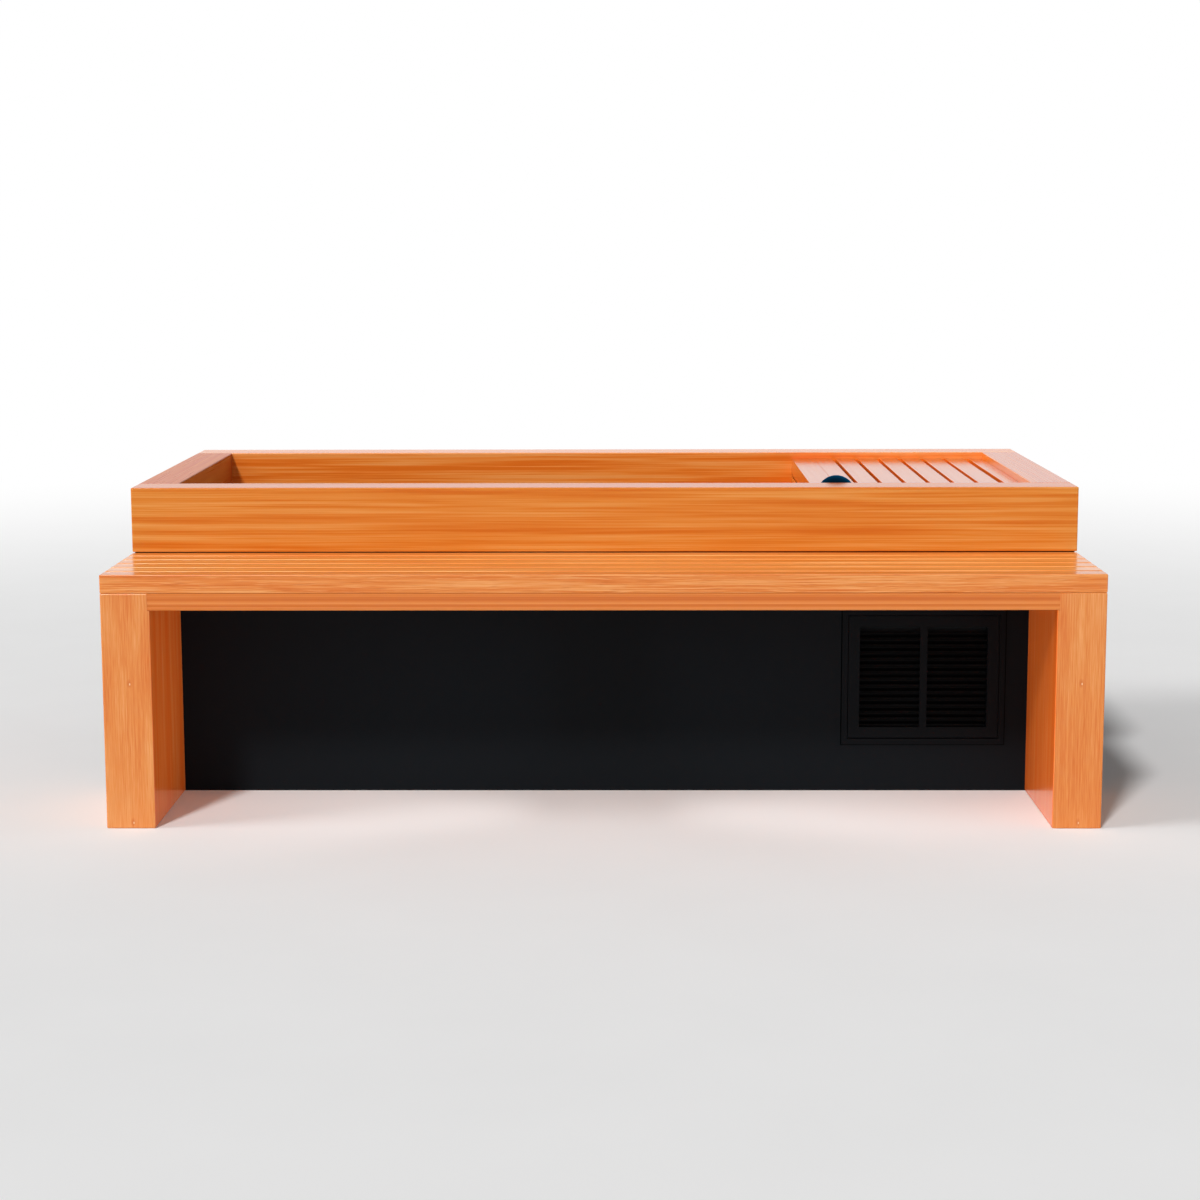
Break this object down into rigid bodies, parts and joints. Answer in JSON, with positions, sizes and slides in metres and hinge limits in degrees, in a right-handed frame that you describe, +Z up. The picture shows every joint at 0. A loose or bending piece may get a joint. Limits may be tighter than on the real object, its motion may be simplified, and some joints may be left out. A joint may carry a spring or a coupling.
{
  "type": "cold plunge tub",
  "caption": "Rectangular timber-rimmed cold plunge tub with a slatted bench along its front, a slatted deck over the chiller bay, a valve knob and a louvred access door.",
  "frame": {"origin": "middle of the footprint of tub and bench together, on the floor", "axes": "+X along the tub towards the equipment end, +Y from the bench to the back, +Z up"},
  "size_m": [2.134, 1.342, 0.7104],
  "materials": {
    "cedar": "clear-oiled softwood with fine straight grain, satin",
    "charcoal_panel": "smooth dark composite panel, low sheen",
    "stainless": "fine brushed stainless sheet",
    "black_gloss": "moulded, glossy",
    "brass": "machined, plain",
    "grey_plastic": "moulded, matt",
    "frame_paint": "powder-coated square tube",
    "foam_board": "closed-cell foam board",
    "grille_paint": "dark coated metal, satin",
    "filter_wool": "open dark filter wool",
    "bare_steel": "plain stainless fixings",
    "black_matte": "moulded, matt",
    "tray_metal": "zinc-coated sheet",
    "fin_aluminium": "thin bare fins",
    "fan_plastic": "moulded, matt",
    "compressor_paint": "black baked enamel",
    "rubber_jacket": "foam rubber jacket",
    "copper": "bare copper tube",
    "pump_plastic": "glass-filled moulding",
    "white_plastic": "white pressure pipe and mouldings",
    "filter_paper": "pleated spun fabric",
    "red_lever": "dipped steel lever"
  },
  "bodies": {
    "tub": {"basin": "stainless", "bench_apron": "cedar", "bench_back_rail": "cedar", "bench_battens": "cedar", "bench_bolts": "bare_steel", "bench_slat_1": "cedar", "bench_slat_2": "cedar", "bench_slat_3": "cedar", "bench_slat_4": "cedar", "bench_slat_5": "cedar", "bench_slat_6": "cedar", "bulkhead_board": "cedar", "circulation_pump": "pump_plastic", "collar_back_rail": "cedar", "collar_front_rail": "cedar", "collar_left_rail": "cedar", "collar_right_rail": "cedar", "compressor": "compressor_paint", "condenser_coil": "fin_aluminium", "control_box": "grey_plastic", "deck_ledgers": "cedar", "diverter_valve": "grey_plastic", "door_catches": "black_matte", "drain_fitting": "stainless", "drain_valve": "brass", "equipment_tray": "tray_metal", "fan_motor": "black_matte", "fan_shroud": "black_matte", "filter_cartridge": "filter_paper", "filter_housing": "white_plastic", "filter_pad": "filter_wool", "frame_crossbars": "frame_paint", "frame_long_rails": "frame_paint", "frame_posts": "frame_paint", "grille_frame": "grille_paint", "heat_exchanger": "rubber_jacket", "hinge_pins": "bare_steel", "insulation_boards": "foam_board", "left_leg": "cedar", "power_inlet": "black_matte", "refrigerant_lines": "copper", "return_fitting": "white_plastic", "right_leg": "cedar", "shelf_inner_plank": "cedar", "shelf_outer_plank": "cedar", "skirt_back": "charcoal_panel", "skirt_front": "charcoal_panel", "skirt_left": "charcoal_panel", "skirt_right": "charcoal_panel", "suction_fitting": "white_plastic", "water_pipes": "white_plastic"},
    "deck_panel": {"deck_slats": "cedar", "deck_battens": "cedar"},
    "valve_knob": {"control_knob": "black_gloss", "valve_spindle": "brass"},
    "access_door": {"grille_door": "grille_paint", "louvre_blades": "grille_paint"},
    "fan": {"fan_rotor": "fan_plastic"},
    "drain_lever": {"drain_handle": "red_lever"},
    "lid": {"filter_lid": "black_matte"}
  },
  "joints": [
    {"name": "deck_lift", "type": "slide", "parent": "tub", "child": "deck_panel", "axis": [0, 0, 1], "range_m": [0, 0.3]},
    {"name": "knob_turn", "type": "hinge", "parent": "tub", "child": "valve_knob", "pos_m": [0.5355, -0.161, 0.7], "axis": [0, 0, 1], "range_deg": [0, 180]},
    {"name": "door_hinge", "type": "hinge", "parent": "tub", "child": "access_door", "pos_m": [0.726, -0.3045, 0.1265], "axis": [1, 0, 0], "range_deg": [0, 90]},
    {"name": "fan_spin", "type": "hinge", "parent": "tub", "child": "fan", "pos_m": [0.726, -0.16, 0.2635], "axis": [0, 1, 0], "continuous": true},
    {"name": "drain_turn", "type": "hinge", "parent": "tub", "child": "drain_lever", "pos_m": [0.545, 0.579, 0.09], "axis": [0, 0, -1], "range_deg": [0, 90]},
    {"name": "lid_lift", "type": "slide", "parent": "tub", "child": "lid", "axis": [0, 0, 1], "range_m": [0, 0.12]}
  ]
}
